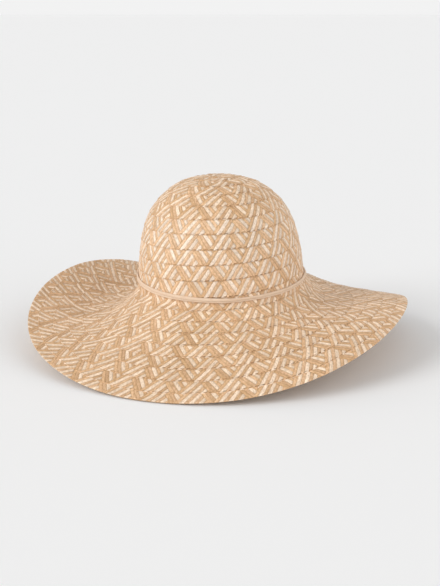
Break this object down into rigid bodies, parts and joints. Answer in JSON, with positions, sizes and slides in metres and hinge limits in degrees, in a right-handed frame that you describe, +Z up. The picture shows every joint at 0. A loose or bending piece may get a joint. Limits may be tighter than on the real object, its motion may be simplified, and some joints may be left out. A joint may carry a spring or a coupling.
{
  "type": "floppy straw hat",
  "caption": "Floppy sun hat of sewn straw braid with a domed open crown, a wide drooping brim and a narrow plain band.",
  "frame": {"origin": "on the surface that the hat lies on, under the middle of its bounding box", "axes": "+Z up through the crown, +X to the right and +Y away from a viewer who sees the pictured side"},
  "size_m": [0.4214, 0.4172, 0.1837],
  "materials": {
    "braid": "matt woven straw braid, pale cream and tan",
    "band": "matt narrow cord"
  },
  "bodies": {
    "root": {"crown": "braid", "brim": "braid", "band": "band"}
  },
  "joints": []
}
